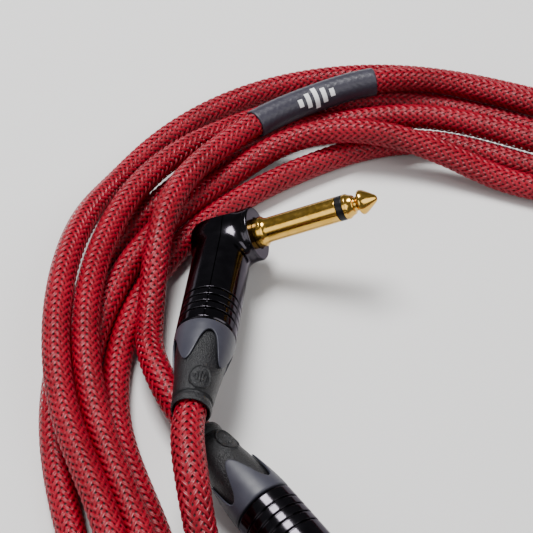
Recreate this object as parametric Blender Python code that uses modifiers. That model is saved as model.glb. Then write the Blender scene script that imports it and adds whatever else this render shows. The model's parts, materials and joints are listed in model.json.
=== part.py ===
"""Instrument cable: one coiled, braided cord between a straight and a right-angle 6.35 mm plug.

Both plugs are built up as the real ones are: jack sleeve, insulator, tip contact and solder tags in
a metal housing, and a screwed strain relief of chuck, bushing and boot. All lengths are in
millimetres and become metres where an object is made. +Z is up, and the table is at Z = 0.
"""
import math

import bmesh
import bpy
import numpy as np
from mathutils import Matrix, Vector

MM = 0.001
GAP = 0.3
ORIGIN = (7.87, -58.2)        # the middle of both plugs, on the table

# The standard two-pole plug.
JACK_R = 3.175
FINGER = 31.0
SLEEVE_TOP = 20.0
RING_TOP = 22.4
FLANGE_T = 1.5
SEAT_R = 4.15                  # the recess in the housing's face that the jack's flange sits in
SEAT_DEPTH = 0.5
ROD_R = 1.2

# The housings and their screwed boots.
SHELL_R = 7.25
BORE_R = 6.0
CAVITY_R = 5.6
FACE = FLANGE_T + GAP - SEAT_DEPTH    # the housing's face lies this far behind the shoulder
GROOVES = [3.2 + 2.4 * i for i in range(4)]
GROOVE_W, GROOVE_D = 0.6, 0.5
BOOT_LENGTH = 23.6
WINDOWS = 4

# The straight plug lies on the table.
STRAIGHT_RIM = (-0.42, -75.3, SHELL_R)
STRAIGHT_AXIS = (0.61, -0.792, 0.0)
STRAIGHT_BODY = 30.2           # rim to shoulder

# The right-angle plug rests on its heel, with its boot over the other plug's cord.
CORNER = (-10.59, 0.61, 8.6)
BOOT_WAY = (-0.1028, -0.9798, 0.1718)
FINGER_WAY = (0.904, -0.02, 0.427)
CORNER_TO_RIM = 36.0
CORNER_TO_SHOULDER = 10.6
SEAM = 2.8                     # the housing's split, measured along the finger

# The cord.
CORD_R = 3.4
CORD_IN = 11.0                 # how far the cord's end reaches into a housing
COIL_CENTRE = (44.0, -52.0)
STATIONS = [225 + 22.5 * i for i in range(16)]
TURNS = [                      # each turn's distance from the coil's centre, station by station
    [None, None, 110, 125, 135, 134, 127, 117, 103, 89.5, 94.3, 90.5, 87.5, 84, 78.5, 73.5],
    [83, 104, 121, 133, 138, 131, 119.5, 109.5, 95.5, 82, 87.5, 97.5, 94.3, 90.5, 86, 81],
    [91.5, 112.5, 130, 142, 147, 141, 129, 117, 104.5, 94.5, 100.5, 105.4, 102.2, 98, 93.5, 91],
    [100, 121, 138.5, 149.5, 154.5, 149, 137, 124.5, 112, 103.5, 110, 113.8, 107, 94.3, 83, 77.3],
    [87, 108.5, 126, 138.3, 146, 144, 137, 131, 123.5, 116, 121, 123.5, 116, 101.4, 90.1, 83.5],
    [95.5, 116.7, 134, 145.5, 147, 138.8, 129.8, 121.5, 113.5, 107.5, 113, 107, 95.1, 78.5,
     None, None],
]
LEAD = [(-15.6, -76, 19.6), (-13.9, -84.5, 16.4), (-11.2, -93.5, 12.5),
        (-7, -103, 8.9), (-1, -113.5, 6.3), (7, -124.5, 4.6), (17, -136, 3.6), (28.5, -147.5, 3.4)]
TAIL = [(-27.3, -34.6, 7.6)]
STEP = 2.0                     # spacing of the points along the whole route
KNOT = 6.3                     # spacing of the points of the tubes beside the coil
LABEL_R = 4.1
LABEL_FROM, LABEL_LENGTH = 36.0, 38.0   # from the start of the tail
TAIL_FROM = 80.0               # the angle at which the last turn leaves the coil's solid

LOOKS = {
    "black_metal": ((0.012, 0.011, 0.014), 0.22, 0.9),
    "gold": ((0.83, 0.62, 0.22), 0.22, 1.0),
    "black_plastic": ((0.015, 0.015, 0.016), 0.45, 0.0),
    "white_plastic": ((0.78, 0.77, 0.72), 0.5, 0.0),
    "tin": ((0.7, 0.7, 0.68), 0.3, 1.0),
    "grey_boot": ((0.12, 0.12, 0.13), 0.5, 0.0),
    "dark_boot": ((0.03, 0.03, 0.032), 0.65, 0.0),
    "red_braid": ((0.45, 0.005, 0.03), 0.5, 0.0),
    "copper": ((0.72, 0.38, 0.22), 0.35, 1.0),
    "red_wire": ((0.5, 0.03, 0.02), 0.5, 0.0),
    "label_sleeve": ((0.05, 0.05, 0.055), 0.5, 0.0),
}


def fresh_scene():
    for obj in list(bpy.data.objects):
        bpy.data.objects.remove(obj, do_unlink=True)
    for old in list(bpy.data.collections):
        bpy.data.collections.remove(old)
    made = {}
    for name in ("instrument_cable", "cutters"):
        made[name] = bpy.data.collections.new(name)
        bpy.context.scene.collection.children.link(made[name])
    return made["instrument_cable"], made["cutters"]


def material(look):
    if look in bpy.data.materials:
        return bpy.data.materials[look]
    colour, roughness, metallic = LOOKS[look]
    made = bpy.data.materials.new(look)
    made.use_nodes = True
    shader = made.node_tree.nodes["Principled BSDF"]
    shader.inputs["Base Color"].default_value = (*colour, 1)
    shader.inputs["Roughness"].default_value = roughness
    shader.inputs["Metallic"].default_value = metallic
    return made


def layout(point):
    return Vector((point[0] - ORIGIN[0], point[1] - ORIGIN[1], point[2])) * MM


def axis_frame(name, origin, up, across):
    """An empty whose Z runs along up and whose X lies nearest to across."""
    z = Vector(up).normalized()
    x = (Vector(across) - Vector(across).dot(z) * z).normalized()
    turn = Matrix((x, z.cross(x), z)).transposed().to_4x4()
    empty = bpy.data.objects.new(name, None)
    empty.empty_display_size = 0.01
    empty.matrix_world = Matrix.Translation(layout(origin)) @ turn
    PARTS.objects.link(empty)
    return empty


def add(name, data, parent, look):
    """A part with a look, or a hidden cutter when look is None."""
    obj = bpy.data.objects.new(name, data)
    if look:
        data.materials.append(material(look))
        PARTS.objects.link(obj)
    else:
        obj.hide_render = True
        obj.display_type = "WIRE"
        CUTTERS.objects.link(obj)
    obj.parent = parent
    return obj


def turned(name, outline, parent, look, segments=32):
    """A profile of (radius, height) points, down the outer side and up the bore, turned about Z."""
    mesh = bpy.data.meshes.new(name)
    points = [(r * MM, 0, z * MM) for r, z in outline]
    edges = [(i, i + 1) for i in range(len(points) - 1)]
    if outline[0][0] > 0:
        edges.append((len(points) - 1, 0))
    mesh.from_pydata(points, edges, [])
    obj = add(name, mesh, parent, look)
    screw = obj.modifiers.new("Turn", "SCREW")
    screw.steps = screw.render_steps = segments
    screw.use_merge_vertices = True
    screw.merge_threshold = 0.00001
    screw.use_smooth_shade = True
    return obj


def solid(name, parent, look, shape):
    """A mesh filled by a function that works on its bmesh."""
    mesh = bpy.data.meshes.new(name)
    bm = bmesh.new()
    shape(bm)
    bm.to_mesh(mesh)
    bm.free()
    return add(name, mesh, parent, look)


def block(name, parent, look, low, high):
    """A box between two corners."""
    low, high = Vector(low) * MM, Vector(high) * MM
    size = Matrix.Diagonal((*(high - low), 1))

    def shape(bm):
        bmesh.ops.create_cube(bm, size=1, matrix=Matrix.Translation((low + high) / 2) @ size)

    return solid(name, parent, look, shape)


def combine(obj, other, operation="DIFFERENCE"):
    step = obj.modifiers.new(operation.title(), "BOOLEAN")
    step.operation = operation
    step.object = other
    step.solver = "EXACT"
    return obj


def tube(name, points, radius, look, sides=2):
    """A round rod along points in the layout's millimetres."""
    curve = bpy.data.curves.new(name, "CURVE")
    curve.dimensions = "3D"
    curve.bevel_depth = radius * MM
    curve.bevel_resolution = sides
    curve.use_fill_caps = True
    line = curve.splines.new("POLY")
    line.points.add(len(points) - 1)
    for spot, point in zip(line.points, points):
        spot.co = (*layout(point), 1)
    return add(name, curve, None, look)


def tube_mesh(name, points, radius, look, sides=2):
    """The same rod as a welded mesh, which can be cut or can cut."""
    rod = tube(name + "_line", points, radius, look, sides)
    bpy.context.view_layer.update()
    read = rod.evaluated_get(bpy.context.evaluated_depsgraph_get())
    mesh = bpy.data.meshes.new_from_object(read)
    bpy.data.objects.remove(rod, do_unlink=True)
    bm = bmesh.new()
    bm.from_mesh(mesh)
    bmesh.ops.remove_doubles(bm, verts=bm.verts, dist=1e-6)
    bm.to_mesh(mesh)
    bm.free()
    mesh.materials.clear()
    return add(name, mesh, None, look)


# ---------------------------------------------------------------- the cord's route

def along(origin, way, distance):
    return np.array(origin) + np.array(Vector(way).normalized()) * distance


def plug_axis_points(origin, way, distances):
    return [tuple(along(origin, way, d)) for d in distances]


def spline(points, step):
    """A natural cubic through the points, read off at even steps."""
    p = np.array(points, float)
    n = len(p)
    h = np.linalg.norm(np.diff(p, axis=0), axis=1) ** 0.75
    system, right = np.zeros((n, n)), np.zeros_like(p)
    system[0, 0] = system[-1, -1] = 1
    for i in range(1, n - 1):
        system[i, i - 1:i + 2] = h[i - 1], 2 * (h[i - 1] + h[i]), h[i]
        right[i] = 6 * ((p[i + 1] - p[i]) / h[i] - (p[i] - p[i - 1]) / h[i - 1])
    bend = np.linalg.solve(system, right)
    fine = []
    for i in range(n - 1):
        d = np.linspace(0, h[i], 8, endpoint=False)[:, None]
        slope = (p[i + 1] - p[i]) / h[i] - h[i] * (2 * bend[i] + bend[i + 1]) / 6
        fine.append(p[i] + slope * d + bend[i] / 2 * d ** 2
                    + (bend[i + 1] - bend[i]) / (6 * h[i]) * d ** 3)
    fine = np.vstack(fine + [p[-1:]])
    run = np.concatenate([[0], np.cumsum(np.linalg.norm(np.diff(fine, axis=0), axis=1))])
    even = np.linspace(0, run[-1], int(round(run[-1] / step)) + 1)
    return np.stack([np.interp(even, run, fine[:, k]) for k in range(3)], 1)


def drape(need, step, reach=60, sag=60.0, soften=7.0):
    """A smooth line that stays on or above need: long low humps, as a cord makes over a crossing."""
    count = int(reach / step)
    off = np.arange(-count, count + 1) * step
    bell = np.exp(-0.5 * (off / soften) ** 2)
    bell /= bell.sum()

    def blur(values):
        return np.convolve(np.pad(values, count, mode="edge"), bell, mode="valid")

    padded = np.pad(need, count, mode="edge")
    hump = off ** 2 / (2 * sag)
    line = blur(np.array([(padded[i:i + len(off)] - hump).max() for i in range(len(need))]))
    for _ in range(6):
        short = np.pad(np.maximum(need - line, 0), 4)
        line = line + 1.2 * blur(np.array([short[i:i + 9].max() for i in range(len(need))]))
    return line


def cord_route():
    """The whole centreline, and the places along it where the coil starts and ends."""
    angled_rim = along(CORNER, BOOT_WAY, CORNER_TO_RIM)
    points = plug_axis_points(angled_rim, BOOT_WAY, (-CORD_IN, 0, 8, 16, BOOT_LENGTH, 28.5)) + LEAD
    first = len(points)
    for turn in TURNS:
        for station, radius in zip(STATIONS, turn):
            if radius:
                a = math.radians(station)
                points.append((COIL_CENTRE[0] + radius * math.cos(a),
                               COIL_CENTRE[1] + radius * math.sin(a), CORD_R))
    last = len(points) - 1
    points += TAIL
    back = [-x for x in STRAIGHT_AXIS]
    points += plug_axis_points(STRAIGHT_RIM, back, (31, 27, BOOT_LENGTH, 16, 8, 0, -CORD_IN))
    route = spline(points, STEP)
    start, search = 0, []
    for point in points:
        ahead = route[start:start + 60, :2] - np.array(point[:2])
        start += int(np.argmin(np.hypot(ahead[:, 0], ahead[:, 1])))
        search.append(start)
    first, last = search[first], search[last]
    plan = route[:, :2]
    apart = np.hypot(plan[:, None, 0] - plan[None, :, 0], plan[:, None, 1] - plan[None, :, 1])
    rank = np.arange(len(route))
    between = (rank > first) & (rank < last)
    touch = 2 * CORD_R + 0.2
    under = (apart < touch) & (rank[None] < rank[:, None] - 60 / STEP)
    under &= between[:, None] & between[None]
    upper, lower = np.nonzero(under)
    lift = np.sqrt(touch ** 2 - apart[upper, lower] ** 2)
    lowest = np.where(between, CORD_R, route[:, 2])
    height = lowest
    for _ in range(8):
        need = lowest.copy()
        np.maximum.at(need, upper, height[lower] + lift)
        height = drape(need, STEP)
    blend = np.clip((last + 12 - rank) / 24, 0, 1) * np.clip((rank - first + 6) / 12, 0, 1)
    blend = blend * blend * (3 - 2 * blend)
    route[:, 2] = route[:, 2] * (1 - blend) + height * blend
    return route, first, last


# ---------------------------------------------------------------- the jack

def jack(prefix, parent, tongue_way):
    """Sleeve, insulator, tip contact and the two solder tags, with the shoulder at Z = 0."""
    turned(prefix + "_jack_sleeve", [
        (JACK_R, SLEEVE_TOP), (JACK_R, 2.2), (3.3, 1.3), (3.6, 0.85), (3.85, 0.6),
        (3.85, -FLANGE_T), (3.0, -FLANGE_T), (3.0, -5.0), (2.4, -5.0),
        (2.4, SLEEVE_TOP)], parent, "gold")
    turned(prefix + "_insulator", [
        (JACK_R, RING_TOP), (JACK_R, SLEEVE_TOP + GAP), (2.1, SLEEVE_TOP + GAP), (2.1, -6.6),
        (1.5, -6.6), (1.5, RING_TOP)], parent, "black_plastic")
    turned(prefix + "_tip_contact", [
        (0, FINGER), (1.05, 30.75), (2.0, 29.85), (2.73, 28.55), (3.1, 27.3), (2.95, 26.7),
        (1.95, 26.0), (1.95, 25.4), (2.4, 24.9), (2.4, 24.3), (JACK_R, 23.6),
        (JACK_R, RING_TOP + GAP),
        (ROD_R, RING_TOP + GAP), (ROD_R, -8.6), (0, -8.6)], parent, "gold")
    for name, hole, rim, height, reach in (("_ground_tag", 2.4, 4.6, -5.3, 9.0),
                                           ("_tip_tag", 1.5, 2.8, -7.2, 7.0)):
        tag = turned(prefix + name, [
            (rim, height), (rim, height - 0.5), (hole, height - 0.5), (hole, height)],
            parent, "tin", 24)
        side = 1 if name == "_ground_tag" else -1
        if tongue_way == "across":
            tongue = block(prefix + name + "_tongue", parent, None,
                           (hole + 0.4, -1.0, height - 0.5), (reach + 4, 1.0, height))
        else:
            tongue = block(prefix + name + "_tongue", parent, None,
                           (side * (rim - 0.8) - 0.3, -1.0, height - reach),
                           (side * (rim - 0.8) + 0.3, 1.0, height))
        combine(tag, tongue, "UNION")


# ---------------------------------------------------------------- the strain relief

def window_cutter(name, parent, turn):
    """A bell-shaped opening in the boot's shell, narrow near the rim and wide at the end."""
    foot, depth = -27.0, 12.0
    side = [(0.0, -3.4), (0.7, -3.55), (1.75, -4.5), (2.3, -5.5), (2.9, -6.9), (3.5, -8.5),
            (4.55, -10.6), (5.65, -11.8), (7.1, -12.15), (7.1, foot)]
    outline = [(-y, z) for y, z in reversed(side[1:])] + side

    def shape(bm):
        ends = []
        for x, spread in ((2.0, 0.45), (depth, 1.25)):
            ring = [bm.verts.new((x * MM, y * spread * MM, z * MM)) for y, z in outline]
            ends.append(ring)
        for k in range(len(outline)):
            following = (k + 1) % len(outline)
            bm.faces.new((ends[0][k], ends[0][following], ends[1][following], ends[1][k]))
        bm.faces.new(ends[0])
        bm.faces.new(ends[1])
        bmesh.ops.recalc_face_normals(bm, faces=bm.faces)
        bmesh.ops.rotate(bm, verts=bm.verts, cent=(0, 0, 0), matrix=Matrix.Rotation(turn, 3, "Z"))

    return solid(name, parent, None, shape)


def strain_relief(prefix, parent, phase):
    """Chuck, bushing and boot shell about Z, with the housing's rim at Z = 0."""
    chuck = turned(prefix + "_chuck", [
        (4.1, 6.5), (4.4, 5.5), (4.4, -6.0), (4.0, -8.0), (3.7, -8.0), (3.7, 6.5)],
        parent, "black_plastic")
    slot = block(prefix + "_chuck_slot", parent, None, (-6, -0.4, -1), (6, 0.4, 8))
    combine(chuck, slot)
    bushing = turned(prefix + "_bushing", [
        (5.7, 7.0), (5.7, 0.3), (5.7, -0.3), (6.25, -1.0), (6.2, -4.0), (5.75, -9.0), (5.2, -14.0),
        (4.75, -18.5), (4.55, -20.2), (4.1, -20.5), (4.1, -21.2), (4.5, -21.5), (4.6, -22.6),
        (4.4, -BOOT_LENGTH), (4.1, -BOOT_LENGTH), (3.7, -BOOT_LENGTH + 1.2), (3.7, -8.6),
        (4.0, -8.3), (4.7, -6.0), (4.7, 7.0)], parent, "dark_boot")
    badge = turned(prefix + "_badge_blank", [
        (0, 5.4), (1.7, 5.4), (2.0, 5.1), (2.0, 4.0), (0, 4.0)], parent, None, 20)
    badge.matrix_local = (Matrix.Rotation(phase, 4, "Z")
                          @ Matrix.Translation((0, 0, -17.2 * MM))
                          @ Matrix.Rotation(math.pi / 2, 4, "Y")
                          @ Matrix.Diagonal((1.5, 1, 1, 1)))
    combine(bushing, badge, "UNION")
    shell = turned(prefix + "_boot_shell", [
        (7.0, -0.35), (7.25, -0.8), (7.1, -4.0), (6.65, -9.0), (6.3, -12.3), (5.75, -12.3),
        (6.05, -9.0), (6.5, -4.0), (6.55, -0.9), (6.1, -0.35)], parent, "grey_boot")
    for i in range(WINDOWS):
        turn = phase + i * 2 * math.pi / WINDOWS
        combine(shell, window_cutter(f"{prefix}_window_{i}", parent, turn))


def grooved_side(top):
    """The housing's outer wall from top down to the rim, with its ring grooves."""
    wall = [(SHELL_R, top)]
    for z in reversed(GROOVES):
        wall += [(SHELL_R, z + GROOVE_W / 2), (SHELL_R - GROOVE_D, z + GROOVE_W / 2),
                 (SHELL_R - GROOVE_D, z - GROOVE_W / 2), (SHELL_R, z - GROOVE_W / 2)]
    return wall + [(SHELL_R, 0.4), (SHELL_R - 0.3, 0)]


def wires(prefix, ends):
    """The signal core and the shield's drain, from the cord's end to the tags."""
    tube(prefix + "_core_wire", ends["core"], 0.6, "red_wire")
    tube(prefix + "_shield_wire", ends["shield"], 0.6, "copper")


# ---------------------------------------------------------------- the plugs

def straight_plug():
    away = Vector(STRAIGHT_AXIS)
    facing = (-0.361, -0.279, 0.891)
    rim = axis_frame("straight_boot_axis", STRAIGHT_RIM, away, facing)
    shoulder = along(STRAIGHT_RIM, away, STRAIGHT_BODY)
    front = axis_frame("straight_jack_axis", shoulder, away, (0, 0, 1))
    top = STRAIGHT_BODY - FACE
    turned("straight_housing", [(5.3, top), (6.3, top - 0.6), (7.0, top - 2.0)]
           + grooved_side(top - 4.0)
           + [(BORE_R, 0), (BORE_R, 8.0), (CAVITY_R, 8.4), (CAVITY_R, top - 2.4),
              (JACK_R + 0.15, top - 2.4), (JACK_R + 0.15, top - SEAT_DEPTH),
              (SEAT_R, top - SEAT_DEPTH), (SEAT_R, top)], rim, "black_metal", 40)
    jack("straight", front, "along")
    strain_relief("straight", rim, math.radians(30))
    spot = lambda x, y, z: tuple((front.matrix_world @ (Vector((x, y, z)) * MM)) / MM
                                 + Vector((*ORIGIN, 0)))
    cord_end = -(STRAIGHT_BODY - CORD_IN)
    wires("straight", {
        "core": [spot(-0.6, 0, cord_end + 0.4), spot(-1.0, 0, cord_end + 2), spot(-1.0, 0, -13.4),
                 spot(-1.0, 0, -9.4)],
        "shield": [spot(1.6, 0, cord_end + 0.4), spot(2.2, 0, cord_end + 2), spot(2.6, 0, -14),
                   spot(2.6, 0, -9.5)]})


def hull_of_rings(name, parent, rings):
    """The convex body round circles, each given by its matrix and radius."""
    def shape(bm):
        for place, radius in rings:
            bmesh.ops.create_circle(bm, segments=32, radius=radius * MM, matrix=place)
        bmesh.ops.convex_hull(bm, input=bm.verts)
        loose = [v for v in bm.verts if not v.link_faces]
        bmesh.ops.delete(bm, geom=loose, context="VERTS")
        inner = [e for e in bm.edges if len(e.link_faces) != 2]
        bmesh.ops.delete(bm, geom=inner, context="EDGES")
        bmesh.ops.triangulate(bm, faces=bm.faces)
        bmesh.ops.recalc_face_normals(bm, faces=bm.faces)

    return solid(name, parent, None, shape)


def angled_housing_part(name, corner, rim, low, high):
    """One of the housing's two castings: the whole hollow body less a slab on one side."""
    face = CORNER_TO_SHOULDER - FACE
    up = [(Matrix.Translation((0, 0, z * MM)), r) for z, r in
          ((face, 6.2), (face - 0.7, 6.9), (-4.4, 7.0), (-6.6, 5.3))]
    side = [(Matrix.Translation((13.0 * MM, 0, 0)) @ Matrix.Rotation(math.pi / 2, 4, "Y"), 7.2)]
    body = turned(name, [(0, CORNER_TO_RIM)] + [(SHELL_R - 0.6, CORNER_TO_RIM)]
                  + grooved_side(CORNER_TO_RIM - 4) + [(0, 0)], rim, "black_metal", 32)
    combine(body, hull_of_rings(name + "_head", corner, up + side), "UNION")
    hollow = turned(name + "_hollow", [
        (0, CORNER_TO_RIM + 4.6), (CAVITY_R - 0.6, CORNER_TO_RIM + 4.6),
        (CAVITY_R - 0.6, CORNER_TO_RIM), (CAVITY_R, CORNER_TO_RIM - 6), (CAVITY_R, 8.4),
        (BORE_R, 8.0), (BORE_R, -1), (0, -1)], rim, None, 36)
    combine(body, hollow)
    chamber = turned(name + "_chamber", [
        (0, face + 2), (SEAT_R, face + 2), (SEAT_R, face - SEAT_DEPTH),
        (JACK_R + 0.15, face - SEAT_DEPTH), (JACK_R + 0.15, face - 2.4), (5.0, face - 2.4),
        (5.0, -4.3), (0, -4.3)], corner, None, 28)
    combine(body, chamber)
    keep = block(name + "_away", corner, None, (-40, -30, low), (60, 30, high))
    combine(body, keep)
    return body


def angled_plug():
    corner = axis_frame("angled_corner", CORNER, FINGER_WAY, BOOT_WAY)
    rim_at = along(CORNER, BOOT_WAY, CORNER_TO_RIM)
    rim = axis_frame("angled_boot_axis", rim_at, [-x for x in BOOT_WAY], (0.26, 0, 0.96))
    shoulder = along(CORNER, FINGER_WAY, CORNER_TO_SHOULDER)
    front = axis_frame("angled_jack_axis", shoulder, FINGER_WAY, BOOT_WAY)
    angled_housing_part("angled_housing_front", corner, rim, -30, SEAM + 0.15)
    angled_housing_part("angled_housing_back", corner, rim, SEAM - 0.15, 30)
    jack("angled", front, "across")
    strain_relief("angled", rim, 0.0)
    spot = lambda x, y, z: tuple((corner.matrix_world @ (Vector((x, y, z)) * MM)) / MM
                                 + Vector((*ORIGIN, 0)))
    cord_end = CORNER_TO_RIM - CORD_IN
    wires("angled", {
        "core": [spot(cord_end - 0.4, 0, -0.6), spot(cord_end - 3, 0, 0), spot(14, 0, 2),
                 spot(11.5, 0, 3.15)],
        "shield": [spot(cord_end - 0.4, 0, 1.6), spot(cord_end - 3, 0, 3), spot(17, 0, 4.4),
                   spot(13.5, 0, 5.05)]})


# ---------------------------------------------------------------- the coil and its ends

def ring_sections(route, count=48, directions=12):
    """Round the coil, the outline that just holds every strand passing there."""
    rel = route[:, :2] - np.array(COIL_CENTRE)
    out, angle = np.hypot(rel[:, 0], rel[:, 1]), np.degrees(np.arctan2(rel[:, 1], rel[:, 0]))
    facing = np.radians(np.arange(directions) * 360 / directions)
    for k in range(count):
        here = k * 360 / count
        near = np.abs((angle - here + 180) % 360 - 180) < 360 / count * 0.55
        hold = [(out[near] * math.cos(f) + route[near, 2] * math.sin(f)).max() + CORD_R
                for f in facing]
        section = []
        for i in range(directions):
            j = (i + 1) % directions
            pair = np.array([[math.cos(facing[i]), math.sin(facing[i])],
                             [math.cos(facing[j]), math.sin(facing[j])]])
            r, z = np.linalg.solve(pair, [hold[i], hold[j]])
            a = math.radians(here)
            section.append((COIL_CENTRE[0] + r * math.cos(a), COIL_CENTRE[1] + r * math.sin(a),
                            max(z, 0.0)))
        yield section


def coil_solid(route):
    def shape(bm):
        rings = [[bm.verts.new(layout(p)) for p in section] for section in ring_sections(route)]
        for a, b in zip(rings, rings[1:] + rings[:1]):
            for i in range(len(a)):
                j = (i + 1) % len(a)
                bm.faces.new((a[i], b[i], b[j], a[j]))
        bmesh.ops.triangulate(bm, faces=bm.faces)
        bmesh.ops.recalc_face_normals(bm, faces=bm.faces)

    return solid("cable_coil", None, "red_braid", shape)


def thin_out(points, spacing):
    """Points about spacing apart along a run of closer ones, with both ends kept."""
    pick = np.linspace(0, len(points) - 1, max(2, int(round(len(points) * STEP / spacing))))
    return [tuple(points[int(round(i))]) for i in pick]


def stretched(points, before, after):
    """The same points with the first and last moved outward along their own runs."""
    first, second = np.array(points[0]), np.array(points[1])
    last, previous = np.array(points[-1]), np.array(points[-2])
    first = first + (first - second) / np.linalg.norm(first - second) * before
    last = last + (last - previous) / np.linalg.norm(last - previous) * after
    return [tuple(first)] + list(points[1:-1]) + [tuple(last)]


def cord():
    route, first, last = cord_route()
    lead_to = first + 5
    rel = route[:, :2] - np.array(COIL_CENTRE)
    angle = np.degrees(np.arctan2(rel[:, 1], rel[:, 0])) % 360
    turn_six = np.nonzero((np.arange(len(route)) > last - 190) & (np.arange(len(route)) < last)
                          & (angle > TAIL_FROM) & (angle < 200))[0]
    tail_from = int(turn_six[0])
    lead = thin_out(route[:lead_to], KNOT)
    tail = thin_out(route[tail_from:], KNOT)
    tube("cable_lead", lead, CORD_R, "red_braid", 4)
    tube("cable_tail", tail, CORD_R, "red_braid", 4)
    coil = coil_solid(route[lead_to:tail_from])
    start = int(round(LABEL_FROM / KNOT))
    stop = start + int(round(LABEL_LENGTH / KNOT)) + 1
    combine(coil, tube_mesh("lead_room", stretched(lead, 0, GAP), CORD_R + GAP, None, 4))
    combine(coil, tube_mesh("tail_room", stretched(tail, GAP, 0), CORD_R + GAP, None, 4))
    combine(coil, tube_mesh("label_room", stretched(tail[start:stop], 8, 2 * GAP),
                            LABEL_R + 2 * GAP, None, 4))
    label = tube_mesh("length_label", tail[start:stop], LABEL_R, "label_sleeve", 4)
    combine(label, tube_mesh("label_bore", stretched(tail[start:stop], 2, 2), CORD_R + GAP,
                             None, 4))


PARTS, CUTTERS = fresh_scene()
straight_plug()
angled_plug()
cord()
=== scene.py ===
"""The looks of the coiled instrument cable: braided cord, label, plugs, materials, light and camera.

Lengths are in metres. Each plug is drawn in two frames: Z along the boot's axis with the housing's
rim at 0, and Z along the finger with the shoulder at 0.
"""

import json
import math

import bmesh
import bpy
import numpy as np
from mathutils import Matrix, Vector


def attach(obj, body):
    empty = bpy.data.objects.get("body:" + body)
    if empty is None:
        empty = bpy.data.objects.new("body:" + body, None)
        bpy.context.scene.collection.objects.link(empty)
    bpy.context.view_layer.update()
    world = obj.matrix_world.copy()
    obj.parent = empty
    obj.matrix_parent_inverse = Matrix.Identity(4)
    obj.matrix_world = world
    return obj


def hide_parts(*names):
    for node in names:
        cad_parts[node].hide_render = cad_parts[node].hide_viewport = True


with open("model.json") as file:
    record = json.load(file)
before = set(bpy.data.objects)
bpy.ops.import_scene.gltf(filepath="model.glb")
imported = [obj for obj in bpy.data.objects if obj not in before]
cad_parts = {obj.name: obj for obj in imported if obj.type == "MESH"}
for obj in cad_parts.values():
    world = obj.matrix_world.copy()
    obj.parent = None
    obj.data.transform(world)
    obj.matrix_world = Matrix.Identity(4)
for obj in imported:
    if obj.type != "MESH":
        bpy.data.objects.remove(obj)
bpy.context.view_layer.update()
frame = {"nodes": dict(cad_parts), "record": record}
MM = 0.001
ORIGIN = (7.87, -58.2)         # the frame's origin in the cord's layout, in millimetres

# ---------------------------------------------------------------- camera

LENS_MM = 87.8
SENSOR_MM = 36.0
NEAR_CLIP = 0.01
CAMERA_AT = (-0.00787, -0.1591, 0.2589)
CAMERA_DROP = 50.0             # degrees below the horizon

camera_data = bpy.data.cameras.new("camera")
camera_data.lens = LENS_MM
camera_data.sensor_width = SENSOR_MM
camera_data.clip_start = NEAR_CLIP
camera = bpy.data.objects.new("camera", camera_data)
camera.location = CAMERA_AT
camera.rotation_euler = (math.radians(90 - CAMERA_DROP), 0, 0)
bpy.context.scene.collection.objects.link(camera)
bpy.context.scene.camera = camera

# ---------------------------------------------------------------- the cord's route, as in part.py

# Millimetres in the cord's layout. A rim is the end of a housing that the boot screws into.
CORD_R = 3.4
STRAIGHT_RIM = (-0.42, -75.3, 7.25)
STRAIGHT_AXIS = (0.61, -0.792, 0.0)
CORNER = (-10.59, 0.61, 8.6)
BOOT_WAY = (-0.1028, -0.9798, 0.1718)
FINGER_WAY = (0.904, -0.02, 0.427)
CORNER_TO_RIM = 36.0
CORNER_TO_SHOULDER = 10.6
STRAIGHT_BODY = 30.2
BOOT_LENGTH = 23.6
COIL_CENTRE = (44.0, -52.0)
STATIONS = [225 + 22.5 * i for i in range(16)]       # degrees round the coil's centre
TURNS = [                      # each turn's distance from the centre at the stations
    [None, None, 110, 125, 135, 134, 127, 117, 103, 89.5, 94.3, 90.5, 87.5, 84, 78.5, 73.5],
    [83, 104, 121, 133, 138, 131, 119.5, 109.5, 95.5, 82, 87.5, 97.5, 94.3, 90.5, 86, 81],
    [91.5, 112.5, 130, 142, 147, 141, 129, 117, 104.5, 94.5, 100.5, 105.4, 102.2, 98, 93.5, 91],
    [100, 121, 138.5, 149.5, 154.5, 149, 137, 124.5, 112, 103.5, 110, 113.8, 107, 94.3, 83, 77.3],
    [87, 108.5, 126, 138.3, 146, 144, 137, 131, 123.5, 116, 121, 123.5, 116, 101.4, 90.1, 83.5],
    [95.5, 116.7, 134, 145.5, 147, 138.8, 129.8, 121.5, 113.5, 107.5, 113, 107, 95.1, 78.5,
     None, None],
]
LEAD = [(-15.6, -76, 19.6), (-13.9, -84.5, 16.4), (-11.2, -93.5, 12.5),
        (-7, -103, 8.9), (-1, -113.5, 6.3), (7, -124.5, 4.6), (17, -136, 3.6), (28.5, -147.5, 3.4)]
TAIL = [(-27.3, -34.6, 7.6)]
ANGLED_STEPS = (-11, 0, 8, 16, BOOT_LENGTH, 28.5)    # straight out along the boot, from its rim
STRAIGHT_STEPS = (31, 27, BOOT_LENGTH, 16, 8, 0, -11)
STEP = 2.0
LAY_GAP = 0.2                  # between two turns that touch
OWN_REACH = 60.0               # the cord isn't laid on a stretch of itself nearer than this
LAY_PASSES = 8
EASE_IN, EASE_OUT = 12, 24     # samples over which the laid height blends into a plug's own


def along(origin, way, distance):
    """The point at a distance from the origin, in the direction of way."""
    return np.array(origin) + np.array(Vector(way).normalized()) * distance


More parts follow.
